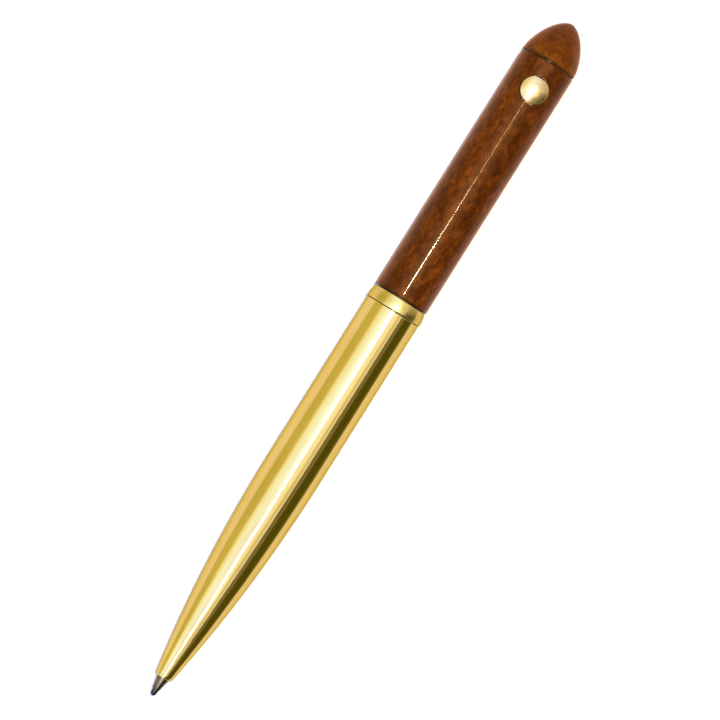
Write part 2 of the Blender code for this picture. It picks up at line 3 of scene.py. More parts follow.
import bmesh
import bpy
from mathutils import Matrix, Vector


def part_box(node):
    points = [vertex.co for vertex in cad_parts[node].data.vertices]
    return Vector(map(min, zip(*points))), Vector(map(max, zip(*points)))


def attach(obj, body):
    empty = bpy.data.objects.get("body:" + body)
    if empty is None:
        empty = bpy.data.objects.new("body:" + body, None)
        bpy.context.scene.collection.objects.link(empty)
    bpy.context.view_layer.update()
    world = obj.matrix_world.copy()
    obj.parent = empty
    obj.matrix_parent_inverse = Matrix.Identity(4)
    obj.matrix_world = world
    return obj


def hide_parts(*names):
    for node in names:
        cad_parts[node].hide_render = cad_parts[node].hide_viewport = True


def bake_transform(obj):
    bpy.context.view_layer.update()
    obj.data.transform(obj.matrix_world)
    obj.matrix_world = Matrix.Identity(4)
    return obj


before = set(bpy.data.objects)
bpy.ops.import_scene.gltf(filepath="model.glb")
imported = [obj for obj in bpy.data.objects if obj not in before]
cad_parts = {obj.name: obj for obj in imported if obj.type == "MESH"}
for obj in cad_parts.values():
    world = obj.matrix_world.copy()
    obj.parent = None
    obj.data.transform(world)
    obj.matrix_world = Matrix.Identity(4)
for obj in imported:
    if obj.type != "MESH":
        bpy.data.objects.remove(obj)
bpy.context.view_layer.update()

MM = 0.001
FINE_SIDES = 192
MID_SIDES = 96
ON_AXIS = 1e-9

# Dimensions in millimetres, along the pen from the writing point and outwards from its axis
PEN_LENGTH = 140.0
BARREL_R = 5.3
MAIN_BORE_R = 3.15
MAIN_BORE_START = 16.2
COUNTERBORE_START = 70.8
COUNTERBORE_R = 4.1
WOOD_R = 5.26
WOOD_BORE_R = 4.2
COLLAR_R = 5.42
COLLAR_REAR_R = 5.14
COLLAR_BORE_R = 4.45
NOSE_FRONT = 3.8
NOSE_R = 1.66
NOSE_LIP = 0.32
TIP_BORE_R = 1.25
TIP_BORE_END = 8.6
SPRING_BORE_R = 2.1
SPRING_BORE_END = 15.6
OGIVE_LENGTH = 45.0
OGIVE_POWER = 2.1
BARREL_END = 80.15
COLLAR_START = 80.25
COLLAR_END = 82.6
COLLAR_LAND = 0.7
WOOD_START = 82.9
WOOD_END = 131.45
WOOD_EDGE = 0.06
WOOD_END_MIDDLE_R = 4.7
CAP_START = 131.92
CAP_R = 5.22
CAP_TAPER = 7.6
CAP_HOLE_R = 2.5
CAP_HOLE_END = 137.4
BUSH_START = 130.45
BUSH_END = 131.5
BUSH_R = 3.8
BUSH_BORE_R = 1.7
STEM_START = 99.2
STEM_END = 136.4
STEM_R = 1.6
STEM_GROOVE_R = 1.25
STOP_START = 105.5
STOP_END = 106.25
STOP_R = 2.75
BUTTON_X = 126.0
BUTTON_R = 2.5
BUTTON_BOTTOM = 2.85
BUTTON_RIM = 4.95
BUTTON_CAVITY_R = 1.9
BUTTON_CAVITY_TOP = 4.6
BUTTON_TOP = 5.75
WING_HALF_LENGTH = 3.1
WING_HALF_WIDTH = 1.5
WING_TOP = 3.45
HOLE_R = 2.64
HOLE_FILLET = 0.08
BALL_R = 0.35
SPRING_START = 8.85
SPRING_END = 16.2
COIL_R = 1.81
COIL_WIRE_R = 0.19
COIL_TURNS = 8.5
COIL_CLOSED_RISE = 0.42
HAIRPIN_R = 1.55
HAIRPIN_BEND_Z = -1.2
HAIRPIN_WIRE_R = 0.25

front_low, front_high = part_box("front_barrel")
AXIS_Z = (front_low[2] + front_high[2]) / 2.0 / MM
AXIS = Vector((0.0, 0.0, AXIS_Z * MM))


# ---------------------------------------------------------------- shaping helpers


def pen_x(station):
    """X in millimetres of a station measured from the writing point."""
    return station - PEN_LENGTH / 2.0


def finish_mesh(name, bm, sharp_deg=40.0):
    """bmesh in millimetres about the pen's axis to an object in metres."""
    bmesh.ops.recalc_face_normals(bm, faces=bm.faces)
    bmesh.ops.translate(bm, verts=bm.verts, vec=(0.0, 0.0, AXIS_Z))
    bmesh.ops.scale(bm, verts=bm.verts, vec=(MM, MM, MM))
    mesh = bpy.data.meshes.new(name)
    bm.to_mesh(mesh)
    bm.free()
    mesh.shade_smooth()
    mesh.set_sharp_from_angle(angle=math.radians(sharp_deg))
    obj = bpy.data.objects.new(name, mesh)
    bpy.context.scene.collection.objects.link(obj)
    return obj


def soft_corner(before, here, after, reach, steps=5):
    """Points of a smooth turn in place of a corner between two straight runs."""
    pivot = Vector(here)
    back = Vector(before) - pivot
    onward = Vector(after) - pivot
    reach = min(reach, back.length * 0.49, onward.length * 0.49)
    back.normalize()
    onward.normalize()
    points = []
    for k in range(steps + 1):
        share = k / steps
        point = pivot + back * reach * (1.0 - share) ** 2 + onward * reach * share**2
        points.append((point.x, point.y))
    return points


def rounded(outline, closed):
    """Turns (along, radius, reach) points into an outline with those corners rounded."""
    out = []
    count = len(outline)
    for k, point in enumerate(outline):
        at_end = not closed and k in (0, count - 1)
        if len(point) < 3 or at_end:
            out.append(point[:2])
        else:
            before = outline[(k - 1) % count][:2]
            after = outline[(k + 1) % count][:2]
            out += soft_corner(before, point[:2], after, point[2])
    return out


def refine(outline, closed, longest):
    """Splits long straight runs so that faces stay well shaped."""
    out = []
    pairs = list(zip(outline, outline[1:] + outline[:1]))
    if not closed:
        pairs = pairs[:-1]
    for a, b in pairs:
        pieces = min(60, int(math.dist(a, b) // longest)) + 1
        for k in range(pieces):
            share = k / pieces
            out.append((a[0] + (b[0] - a[0]) * share, a[1] + (b[1] - a[1]) * share))
    if not closed:
        out.append(outline[-1])
    return out


def ring(bm, along, radius, sides, axis, centre):
    """A ring of vertices about the pen's axis or about the button's axis."""
    on_axis = radius <= ON_AXIS
    angles = [0.0] if on_axis else [2.0 * math.pi * k / sides for k in range(sides)]
    verts = []
    for angle in angles:
        c = 0.0 if on_axis else math.cos(angle) * radius
        s = 0.0 if on_axis else math.sin(angle) * radius
        place = (pen_x(along), s, c) if axis == "X" else (pen_x(centre) + c, s, along)
        verts.append(bm.verts.new(place))
    return verts


def bridge(bm, first, second):
    """Faces between two rings, either of which may be one vertex."""
    if len(first) == 1 and len(second) == 1:
        return
    count = max(len(first), len(second))
    for k in range(count):
        n = (k + 1) % count
        if len(first) == 1:
            bm.faces.new((first[0], second[k], second[n]))
        elif len(second) == 1:
            bm.faces.new((first[k], first[n], second[0]))
        else:
            bm.faces.new((first[k], first[n], second[n], second[k]))


def turned(outline, sides, axis, centre, longest):
    """bmesh turned from an outline. Outlines that start on the axis are solids."""
    closed = outline[0][1] > ON_AXIS
    points = refine(rounded(outline, closed), closed, longest)
    bm = bmesh.new()
    rings = [ring(bm, along, radius, sides, axis, centre) for along, radius in points]
    for first, second in zip(rings, rings[1:]):
        bridge(bm, first, second)
    if closed:
        bridge(bm, rings[-1], rings[0])
    return bm


def turn(name, outline, sides=FINE_SIDES, sharp=40.0, longest=1.2):
    """Object turned about the pen's axis."""
    return finish_mesh(name, turned(outline, sides, "X", 0.0, longest), sharp)


def wire(name, path, wire_r, sides=16):
    """Round wire along a path, closed at both ends."""
    bm = bmesh.new()
    rings = []
    pen_axis = Vector((1.0, 0.0, 0.0))
    last = len(path) - 1
    for k, point in enumerate(path):
        tangent = (path[min(k + 1, last)] - path[max(k - 1, 0)]).normalized()
        side = (pen_axis - tangent * pen_axis.dot(tangent)).normalized()
        other = tangent.cross(side)
        verts = []
        for corner in range(sides):
            angle = 2.0 * math.pi * corner / sides
            offset = side * math.cos(angle) + other * math.sin(angle)
            verts.append(bm.verts.new(point + offset * wire_r))
        rings.append(verts)
    for first, second in zip(rings, rings[1:]):
        bridge(bm, first, second)
    for end in (rings[0], rings[-1]):
        middle = Vector((0.0, 0.0, 0.0))
        for vert in end:
            middle += vert.co
        bridge(bm, [bm.verts.new(middle / len(end))], end)
    return finish_mesh(name, bm, 50.0)


# ---------------------------------------------------------------- pieces


def ogive_radius(station):
    """Radius of the rounded nose at a station."""
    travelled = min(1.0, (station - NOSE_FRONT) / OGIVE_LENGTH)
    return NOSE_R + (BARREL_R - NOSE_R) * (1.0 - (1.0 - travelled) ** OGIVE_POWER)


def cap_radius(from_end):
    """Radius of the bullet cap at a distance from its rounded end."""
    remaining = max(0.0, 1.0 - from_end / CAP_TAPER)
    return CAP_R * (1.0 - remaining**1.5) ** (1.0 / 1.7)


def make_front_barrel():
    """Brass half: rounded nose, bores for spring and refill, counterbore for the coupler."""
    lip_rounding = 0.16
    lip_r = ogive_radius(NOSE_FRONT + NOSE_LIP) - lip_rounding
    outline = [
        (TIP_BORE_END, TIP_BORE_R),
        (NOSE_FRONT, TIP_BORE_R, 0.06),
        (NOSE_FRONT, lip_r, lip_rounding),
    ]
    steps = 60
    for k in range(1, steps + 1):
        station = NOSE_FRONT + OGIVE_LENGTH * (k / steps) ** 1.3
        if station > NOSE_FRONT + NOSE_LIP:
            outline.append((station, ogive_radius(station)))
    outline += [
        (BARREL_END - 0.35, BARREL_R),
        (BARREL_END, BARREL_R, 0.14),
        (BARREL_END, COUNTERBORE_R, 0.05),
        (COUNTERBORE_START, COUNTERBORE_R),
        (COUNTERBORE_START, MAIN_BORE_R),
        (MAIN_BORE_START, MAIN_BORE_R),
        (SPRING_BORE_END, SPRING_BORE_R),
        (TIP_BORE_END, SPRING_BORE_R),
    ]
    return turn("brass_front_barrel", outline)


def make_collar():
    """Ring with a straight land in front and a taper towards the wood."""
    land_end = COLLAR_START + COLLAR_LAND
    rounding = 0.12
    outline = [
        (COLLAR_START, COLLAR_BORE_R),
        (COLLAR_START, COLLAR_R - 0.05, rounding),
        (COLLAR_START + 0.2, COLLAR_R, rounding),
    ]
    steps = 8
    for k in range(steps + 1):
        share = k / steps
        station = land_end + (COLLAR_END - land_end) * share
        radius = COLLAR_R + (COLLAR_REAR_R - COLLAR_R) * share**1.4
        outline.append((station, radius, rounding) if k == steps else (station, radius))
    outline.append((COLLAR_END, COLLAR_BORE_R))
    return turn("brass_collar_ring", outline, longest=0.6)


def on_tube(x, arc, radius=WOOD_R):
    """Point at an arc length round the wooden tube, drawn in or out to a radius."""
    return Vector((x, radius * math.sin(arc / WOOD_R), radius * math.cos(arc / WOOD_R)))


def hole_rings(bm, hole_x, flat):
    """Rings from a square of points round the side hole, over its rim and down to the bore."""
    headings = [math.atan2(arc, x) for x, arc in flat]
    rim = HOLE_R + HOLE_FILLET
    rings = []
    outer_rings = 8
    for k in range(1, outer_rings + 1):
        share = k / outer_rings
        verts = []
        for (x, arc), heading in zip(flat, headings):
            rim_x = rim * math.cos(heading)
            rim_arc = WOOD_R * math.asin(rim * math.sin(heading) / WOOD_R)
            place = on_tube(hole_x + x + (rim_x - x) * share, arc + (rim_arc - arc) * share)
            verts.append(bm.verts.new(place))
        rings.append(verts)
    fillet_rings = 6
    for k in range(1, fillet_rings + 2):
        at_bore = k > fillet_rings
        turn_angle = math.pi / 2.0 * min(k, fillet_rings) / fillet_rings
        radius = HOLE_R + HOLE_FILLET * (1.0 - math.sin(turn_angle))
        drop = 0.0 if at_bore else HOLE_FILLET * (1.0 - math.cos(turn_angle))
        outer = WOOD_BORE_R if at_bore else WOOD_R
        verts = []
        for heading in headings:
            y = radius * math.sin(heading)
            place = (hole_x + radius * math.cos(heading), y, math.sqrt(outer**2 - y**2) - drop)
            verts.append(bm.verts.new(place))
        rings.append(verts)
    return rings


def close_tube_end(bm, last, arcs, end_x, sign):
    """Rounds the tube's end and takes it in to the bore."""
    steps = 5
    profile = []
    for k in range(1, steps + 1):
        turn_angle = math.pi / 2.0 * k / steps
        x = end_x - sign * WOOD_EDGE * (1.0 - math.sin(turn_angle))
        profile.append((x, WOOD_R - WOOD_EDGE * (1.0 - math.cos(turn_angle))))
    profile += [(end_x, WOOD_END_MIDDLE_R), (end_x, WOOD_BORE_R)]
    for x, radius in profile:
        following = [bm.verts.new(on_tube(x, arc, radius)) for arc in arcs]
        bridge(bm, last, following)
        last = following


def make_wood_barrel():
    """Tube with a side hole: a grid with a square gap, which rings fill up to the hole's rim."""
    bm = bmesh.new()
    half_cells = 14
    half_side = 3.6
    rows_before = 60
    rows_after = 4
    around = round(2.0 * math.pi * WOOD_R / (half_side / half_cells))
    step = 2.0 * math.pi * WOOD_R / around
    hole_x = pen_x(BUTTON_X)
    x0, x1 = pen_x(WOOD_START), pen_x(WOOD_END)
    front, rear = x0 + WOOD_EDGE, x1 - WOOD_EDGE
    block = [hole_x - half_side + half_side * k / half_cells for k in range(2 * half_cells + 1)]
    before = [front + (block[0] - front) * k / rows_before for k in range(rows_before)]
    after = [
        block[-1] + (rear - block[-1]) * k / rows_after for k in range(1, rows_after + 1)
    ]
    xs = before + block + after
    i0, i1 = len(before), len(before) + 2 * half_cells
    middle = around // 2
    j0, j1 = middle - half_cells, middle + half_cells
    arcs = [(j - middle) * step for j in range(around)]

    grid = {}
    for i, x in enumerate(xs):
        for j, arc in enumerate(arcs):
            if not (i0 < i < i1 and j0 < j < j1):
                grid[(i, j)] = bm.verts.new(on_tube(x, arc))
    for i in range(len(xs) - 1):
        for j in range(around):
            if not (i0 <= i < i1 and j0 <= j < j1):
                n = (j + 1) % around
                bm.faces.new([grid[cell] for cell in ((i, j), (i + 1, j), (i + 1, n), (i, n))])

    loop = [(i, j0) for i in range(i0, i1)] + [(i1, j) for j in range(j0, j1)]
    loop += [(i, j1) for i in range(i1, i0, -1)] + [(i0, j) for j in range(j1, j0, -1)]
    flat = [(xs[i] - hole_x, arcs[j]) for i, j in loop]
    rings = [[grid[cell] for cell in loop]] + hole_rings(bm, hole_x, flat)
    for first, second in zip(rings, rings[1:]):
        bridge(bm, first, second)
    for end_x, sign, row in ((x0, -1.0, 0), (x1, 1.0, len(xs) - 1)):
        close_tube_end(bm, [grid[(row, j)] for j in range(around)], arcs, end_x, sign)
    return finish_mesh("wooden_rear_barrel", bm, 50.0)


def make_cap():
    """Bullet cap with a blind hole for the insert."""
    outline = [
        (CAP_HOLE_END, 0.0),
        (CAP_HOLE_END, CAP_HOLE_R),
        (CAP_START, CAP_HOLE_R, 0.05),
        (CAP_START, CAP_R, 0.08),
    ]
    steps = 48
    for k in range(steps):
        from_end = CAP_TAPER * (1.0 - k / steps) ** 1.6
        outline.append((PEN_LENGTH - from_end, cap_radius(from_end)))
    outline.append((PEN_LENGTH, 0.0))
    return turn("wooden_bullet_cap", outline, longest=0.5, sharp=60.0)


def make_button():
    """Domed button with the two wings that keep it from falling out."""
    outline = [
        (BUTTON_CAVITY_TOP, 0.0),
        (BUTTON_CAVITY_TOP, BUTTON_CAVITY_R),
        (BUTTON_BOTTOM, BUTTON_CAVITY_R, 0.05),
        (BUTTON_BOTTOM, BUTTON_R, 0.08),
        (BUTTON_RIM, BUTTON_R, 0.06),
    ]
    steps = 28
    for k in range(1, steps + 1):
        share = 1.0 - k / steps
        outline.append((BUTTON_TOP - (BUTTON_TOP - BUTTON_RIM) * share**2, BUTTON_R * share))
    bm = turned(outline, 128, "Z", BUTTON_X, 0.4)
    inner = BUTTON_R - 0.2
    width = 2.0 * WING_HALF_WIDTH - 0.4
    size = (WING_HALF_LENGTH - inner, width, WING_TOP - BUTTON_BOTTOM)
    for sign in (-1.0, 1.0):
        centre_x = pen_x(BUTTON_X) + sign * (WING_HALF_LENGTH + inner) / 2.0
        centre = (centre_x, 0.0, (WING_TOP + BUTTON_BOTTOM) / 2.0)
        wing = bmesh.ops.create_cube(bm, size=1.0)["verts"]
        bmesh.ops.scale(bm, verts=wing, vec=size)
        bmesh.ops.translate(bm, verts=wing, vec=centre)
    return finish_mesh("brass_release_button", bm)


def make_tip():
    """Steel tip: lip round the ball, two cones, shank and spigot, then back along the ink bore."""
    ink_bore_r = 0.2
    shank_r = 1.15
    shank_end = 10.2
    spigot_r = 0.85
    spigot_end = 14.0
    outline = [
        (0.25, 0.37),
        (0.20, 0.41, 0.02),
        (0.42, 0.50, 0.05),
        (1.33, 0.66, 0.02),
        (1.38, 0.72, 0.02),
        (2.9, 1.03, 0.03),
        (3.3, shank_r, 0.1),
        (shank_end, shank_r),
        (shank_end, spigot_r),
        (spigot_end, spigot_r),
        (spigot_end, ink_bore_r),
        (0.75, ink_bore_r),
        (0.75, 0.38),
    ]
    return turn("steel_tip_socket", outline, sides=MID_SIDES, longest=0.4)


def make_ball():
    steps = 32
    outline = []
    for k in range(steps + 1):
        angle = math.pi * k / steps
        height = 0.0 if k in (0, steps) else BALL_R * math.sin(angle)
        outline.append((BALL_R - BALL_R * math.cos(angle), height))
    return turn("tip_ball_polished", outline, sides=64)


def make_stem():
    """Plunger stem with its stop collar and the groove that the hairpin snaps into."""
    groove_start = BUTTON_X - 0.3
    groove_end = BUTTON_X + 0.65
    outline = [
        (STEM_START, 0.0),
        (STEM_START, STEM_R, 0.2),
        (STOP_START, STEM_R),
        (STOP_START, STOP_R, 0.1),
        (STOP_END, STOP_R, 0.1),
        (STOP_END, STEM_R),
        (groove_start, STEM_R),
        (groove_start, STEM_GROOVE_R),
        (groove_end, STEM_GROOVE_R),
        (groove_end + 0.35, STEM_R),
        (STEM_END, STEM_R, 0.2),
        (STEM_END, 0.0),
    ]
    return turn("plunger_stem_turned", outline, sides=MID_SIDES)


def make_bush():
    outline = [
        (BUSH_START, BUSH_BORE_R, 0.05),
        (BUSH_START, BUSH_R, 0.05),
        (BUSH_END, BUSH_R, 0.08),
        (BUSH_END, BUSH_BORE_R, 0.1),
    ]
    return turn("end_bush_turned", outline, sides=MID_SIDES)


def make_return_spring():
    """Coil with one closed turn at each end."""
    steps = 8 * 64
    open_rise = SPRING_END - SPRING_START - 2.0 * COIL_CLOSED_RISE
    path = []
    for k in range(steps + 1):
        turn_count = COIL_TURNS * k / steps
        if turn_count < 1.0:
            station = SPRING_START + COIL_CLOSED_RISE * turn_count
        elif turn_count > COIL_TURNS - 1.0:
            station = SPRING_END - COIL_CLOSED_RISE * (COIL_TURNS - turn_count)
        else:
            share = (turn_count - 1.0) / (COIL_TURNS - 2.0)
            station = SPRING_START + COIL_CLOSED_RISE + open_rise * share
        angle = 2.0 * math.pi * turn_count
        y, z = COIL_R * math.sin(angle), COIL_R * math.cos(angle)
        path.append(Vector((pen_x(station), y, z)))
    return wire("return_spring_coil", path, COIL_WIRE_R, 14)


def make_catch_spring():
    """Hairpin that stands round the plunger's stem under the button."""
    corners = [(0.52, 2.75), (0.3, 2.42), (HAIRPIN_R, 1.25), (HAIRPIN_R, HAIRPIN_BEND_Z)]
    leg = [corners[0]]
    for before, here, after in zip(corners, corners[1:], corners[2:]):
        leg += soft_corner(before, here, after, 0.35, 8)
    steps = 32
    bend = []
    for k in range(steps + 1):
        angle = -math.pi * k / steps
        bend.append((HAIRPIN_R * math.cos(angle), HAIRPIN_BEND_Z + HAIRPIN_R * math.sin(angle)))
    outline = leg + bend + [(-y, z) for y, z in reversed(leg)]
    path = [Vector((pen_x(BUTTON_X), y, z)) for y, z in outline]
    return wire("catch_spring_wire", path, HAIRPIN_WIRE_R)


# ---------------------------------------------------------------- materials


WHITE = (1.0, 1.0, 1.0)
RELIEF_DEPTH = 0.00002

# Noise scales per metre, along and across the pen
LONG_LINES = (7.0, 2400.0, 2400.0)
TURNED_LINES = (2500.0, 60.0, 60.0)
EVEN_GRAIN = (900.0, 900.0, 900.0)
TARNISH_CLOUDS = (120.0, 200.0, 200.0)
GRAIN_STREAKS = (40.0, 700.0, 700.0)
BROAD_SHADES = (45.0, 110.0, 110.0)
PORES = (900.0, 2800.0, 2800.0)
PLASTIC_GRAIN = (1600.0, 1600.0, 1600.0)
PLASTIC_CLOUDS = (220.0, 300.0, 300.0)

EDGE_BRASS = (0.60, 0.57, 0.30)
LINE_SHADE = (0.80, 0.78, 0.70)
POINT_DARK = (0.03, 0.026, 0.022)
WOOD_DIM = (0.62, 0.56, 0.52)
DARK_PORE = (0.45, 0.36, 0.32)
# Painted shade for the dark lines in the gaps at the wood's joints
JOINT_PAINTED_SHADE = (0.008, 0.003, 0.001)


def tree_of(name):
    material = bpy.data.materials.new(name)
    material.use_nodes = True
    tree = material.node_tree
    return material, tree, tree.nodes["Principled BSDF"]


def coords(tree, scale, offset=(0.0, 0.0, 0.0)):
    """Object coordinates times a scale per metre."""
    where = tree.nodes.new("ShaderNodeTexCoord")
    mapping = tree.nodes.new("ShaderNodeMapping")
    mapping.inputs["Location"].default_value = offset
    mapping.inputs["Scale"].default_value = scale
    tree.links.new(where.outputs["Object"], mapping.inputs["Vector"])
    return mapping.outputs["Vector"]


def noise(tree, vector, detail, rough, distortion=0.0):
    node = tree.nodes.new("ShaderNodeTexNoise")
    node.inputs["Scale"].default_value = 1.0
    node.inputs["Detail"].default_value = detail
    node.inputs["Roughness"].default_value = rough
    node.inputs["Distortion"].default_value = distortion
    tree.links.new(vector, node.inputs["Vector"])
    return node.outputs["Fac"]


def ramp(tree, value, stops):
    node = tree.nodes.new("ShaderNodeValToRGB")
    elements = node.color_ramp.elements
    while len(elements) < len(stops):
        elements.new(0.5)
    for element, (position, colour) in zip(elements, stops):
        element.position = position
        element.color = (*colour, 1.0)
    tree.links.new(value, node.inputs["Fac"])
    return node.outputs["Color"]


def spread(tree, value, low_out, high_out, low_in=0.3, high_in=0.7):
    node = tree.nodes.new("ShaderNodeMapRange")
    node.inputs["From Min"].default_value = low_in
    node.inputs["From Max"].default_value = high_in
    node.inputs["To Min"].default_value = low_out
    node.inputs["To Max"].default_value = high_out
    tree.links.new(value, node.inputs["Value"])
    return node.outputs["Result"]


def mix(tree, kind, factor, a, b):
    node = tree.nodes.new("ShaderNodeMix")
    node.data_type = "RGBA"
    node.blend_type = kind
    if isinstance(factor, float):
        node.inputs[0].default_value = factor
    else:
        tree.links.new(factor, node.inputs[0])
    for socket, value in ((node.inputs[6], a), (node.inputs[7], b)):
        if isinstance(value, tuple):
            socket.default_value = (*value, 1.0)
        else:
            tree.links.new(value, socket)
    return node.outputs[2]


def bump(tree, shader, height, strength):
    node = tree.nodes.new("ShaderNodeBump")
    node.inputs["Strength"].default_value = strength
    node.inputs["Distance"].default_value = RELIEF_DEPTH
    tree.links.new(height, node.inputs["Height"])
    tree.links.new(node.outputs["Normal"], shader.inputs["Normal"])


def between(tree, first, last):
    """0 from the first station outwards, 1 from the last one outwards, an even rise between."""
    where = tree.nodes.new("ShaderNodeTexCoord")
    apart = tree.nodes.new("ShaderNodeSeparateXYZ")
    tree.links.new(where.outputs["Object"], apart.inputs[0])
    return spread(tree, apart.outputs[0], 0.0, 1.0, pen_x(first) * MM, pen_x(last) * MM)


def metal(name, light, dark, rough, lines=EVEN_GRAIN, relief=0.08, edge=None, darker_point=False):
    """Metal with fine lines, soft tarnish clouds and small changes of polish."""
    material, tree, shader = tree_of(name)
    shader.inputs["Metallic"].default_value = 1.0
    if edge is not None:
        shader.inputs["Specular Tint"].default_value = (*edge, 1.0)
    line = noise(tree, coords(tree, lines), 5.0, 0.6)
    cloud = noise(tree, coords(tree, TARNISH_CLOUDS), 3.0, 0.5, 0.3)
    clouded = mix(tree, "MIX", spread(tree, cloud, 0.0, 1.0), dark, light)
    shade = ramp(tree, line, [(0.38, LINE_SHADE), (0.62, WHITE)])
    colour = mix(tree, "MULTIPLY", 0.35, clouded, shade)
    if darker_point:
        # Darker towards the writing point, and the steel's own colour from the main cone on
        colour = mix(tree, "MIX", between(tree, 0.5, 2.6), POINT_DARK, colour)
    tree.links.new(colour, shader.inputs["Base Color"])
    tree.links.new(spread(tree, line, *rough), shader.inputs["Roughness"])
    bump(tree, shader, line, relief)
    return material


def wood_look(name, tones, seed, rough, figure, relief, lacquer, joints):
    """Reddish-brown wood: blotchy figure, grain along the pen, short dark pores, a warm sheen.

    Each joint is a pair of stations. Painted shade stands in for the shadow down the gap
    at the joint: dark at the first station and gone by the second.
    """
    material, tree, shader = tree_of(name)
    shader.inputs["IOR"].default_value = 1.2
    shader.inputs["Specular Tint"].default_value = (1.0, 0.52, 0.10, 1.0)
    shader.inputs["Coat Weight"].default_value = lacquer
    shader.inputs["Coat IOR"].default_value = 1.3
    shader.inputs["Coat Roughness"].default_value = 0.05
    shader.inputs["Sheen Weight"].default_value = 0.20
    shader.inputs["Sheen Roughness"].default_value = 0.45
    shader.inputs["Sheen Tint"].default_value = (1.0, 0.36, 0.05, 1.0)
    offset = (seed, 2.0 * seed, -seed)
    blotch = noise(tree, coords(tree, figure, offset), 8.0, 0.70, 0.55)
    streak = noise(tree, coords(tree, GRAIN_STREAKS, offset), 4.0, 0.6, 0.5)
    broad = noise(tree, coords(tree, BROAD_SHADES, offset), 2.0, 0.5, 0.4)
    pore = noise(tree, coords(tree, PORES, offset), 3.0, 0.6)
    colour = ramp(tree, blotch, [(0.34, tones[0]), (0.5, tones[1]), (0.66, tones[2])])
    shades = (
        (0.45, streak, [(0.36, WOOD_DIM), (0.6, WHITE)]),
        (0.5, broad, [(0.36, WOOD_DIM), (0.6, WHITE)]),
        (0.6, pore, [(0.38, DARK_PORE), (0.54, WHITE)]),
    )
    for strength, pattern, stops in shades:
        colour = mix(tree, "MULTIPLY", strength, colour, ramp(tree, pattern, stops))
    # Painted shade at each joint, where the wood meets the collar or the cap
    for dark_end, unshaded_end in joints:
        unshaded = between(tree, dark_end, unshaded_end)
        colour = mix(tree, "MIX", unshaded, JOINT_PAINTED_SHADE, colour)
    tree.links.new(colour, shader.inputs["Base Color"])
    tree.links.new(spread(tree, streak, rough * 1.2, rough), shader.inputs["Roughness"])
    bump(tree, shader, pore, relief)
    return material


def moulded(name, light, dark, rough):
    """Plastic, rubber or ink with a faint grain and handling marks."""
    material, tree, shader = tree_of(name)
    grain = noise(tree, coords(tree, PLASTIC_GRAIN), 4.0, 0.6)
    cloud = noise(tree, coords(tree, PLASTIC_CLOUDS), 3.0, 0.5, 0.2)
    colour = mix(tree, "MIX", spread(tree, cloud, 0.0, 1.0), dark, light)
    tree.links.new(colour, shader.inputs["Base Color"])
    tree.links.new(spread(tree, grain, *rough), shader.inputs["Roughness"])
    bump(tree, shader, grain, 0.1)
    return material


brass = metal(
    "brass_polished",
    (0.684, 0.478, 0.147),
    (0.642, 0.443, 0.134),
    rough=(0.08, 0.13),
    lines=LONG_LINES,
    relief=0.50,
    edge=EDGE_BRASS,
)
brass_collar = metal(
    "brass_collar",
    (0.66, 0.47, 0.145),
    (0.55, 0.375, 0.105),
    rough=(0.16, 0.26),
    relief=0.15,
    edge=EDGE_BRASS,
)
brass_button = metal(
    "brass_button", (0.70, 0.50, 0.22), (0.58, 0.40, 0.155), rough=(0.24, 0.36), relief=0.25
)
# Near-black brass: painted shade on the parts that show only down the gaps between pieces
brass_painted_shade = metal(
    "brass_painted_shade",
    (0.07, 0.04, 0.015),
    (0.04, 0.022, 0.009),
    rough=(0.5, 0.7),
    lines=TURNED_LINES,
    relief=0.2,
)
brass_turned = metal(
    "brass_turned",
    (0.74, 0.55, 0.27),
    (0.60, 0.43, 0.19),
    rough=(0.28, 0.42),
    lines=TURNED_LINES,
    relief=0.2,
)
steel = metal(
    "steel_turned",
    (0.19, 0.155, 0.095),
    (0.11, 0.09, 0.05),
    rough=(0.18, 0.28),
    lines=TURNED_LINES,
    relief=0.1,
    darker_point=True,
)
spring_steel = metal("spring_steel", (0.66, 0.67, 0.70), (0.48, 0.49, 0.52), rough=(0.22, 0.34))
tungsten = metal(
    "tungsten_carbide", (0.07, 0.065, 0.06), (0.04, 0.038, 0.035), rough=(0.15, 0.25)
)

wood_barrel_look = wood_look(
    "wood_lacquered",
    ((0.021, 0.0038, 0.0002), (0.049, 0.0104, 0.0006), (0.099, 0.0250, 0.0016)),
    seed=0.0,
    rough=0.38,
    figure=(420.0, 700.0, 700.0),
    relief=0.12,
    lacquer=0.12,
    joints=[(83.03, 83.11), (131.38, 131.32)],
)
wood_cap_look = wood_look(
    "wood_waxed",
    ((0.042, 0.0085, 0.0004), (0.068, 0.0160, 0.0010), (0.104, 0.0280, 0.0020)),
    seed=3.7,
    rough=0.42,
    figure=(420.0, 300.0, 520.0),
    relief=0.10,
    lacquer=0.0,
    joints=[(131.98, 132.04)],
)

acetal = moulded("acetal_white", (0.80, 0.79, 0.74), (0.72, 0.70, 0.65), (0.3, 0.45))
clear_plastic = moulded("refill_plastic", (0.78, 0.79, 0.79), (0.66, 0.67, 0.68), (0.2, 0.35))
dark_plastic = moulded("dark_plastic", (0.06, 0.06, 0.07), (0.03, 0.03, 0.035), (0.3, 0.5))
rubber = moulded("black_rubber", (0.05, 0.05, 0.05), (0.025, 0.025, 0.025), (0.6, 0.8))
ink = moulded("ink_blue", (0.012, 0.018, 0.11), (0.006, 0.01, 0.06), (0.15, 0.3))


def paint(obj, material):
    obj.data.materials.clear()
    obj.data.materials.append(material)


# ---------------------------------------------------------------- pieces on their bodies

